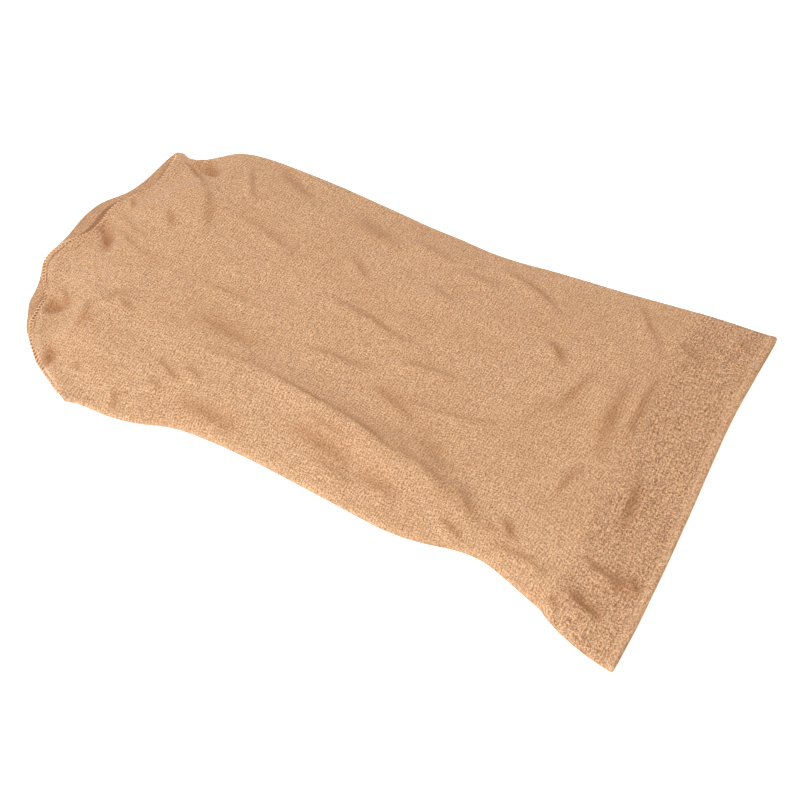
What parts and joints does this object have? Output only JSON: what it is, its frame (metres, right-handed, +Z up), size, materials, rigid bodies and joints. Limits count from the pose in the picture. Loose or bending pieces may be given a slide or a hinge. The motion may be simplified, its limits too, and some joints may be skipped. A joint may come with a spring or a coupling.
{
  "type": "wig cap",
  "caption": "Knitted tube wig cap lying flat, closed by a seam at the toe and open at a doubled welt band.",
  "frame": {"origin": "middle of the cap's plan outline, on the surface that it lies on", "axes": "+X along the tube from the closed toe to the open mouth, +Y across it towards the straighter side edge, +Z up"},
  "size_m": [0.1926, 0.1122, 0.0098],
  "materials": {
    "body_knit": "fine stretch knit, matt",
    "welt_knit": "coarser doubled knit, matt",
    "seam_thread": "soft thread, matt"
  },
  "bodies": {
    "root": {"cap_body": "body_knit", "welt_band": "welt_knit", "toe_seam": "seam_thread"}
  },
  "joints": []
}
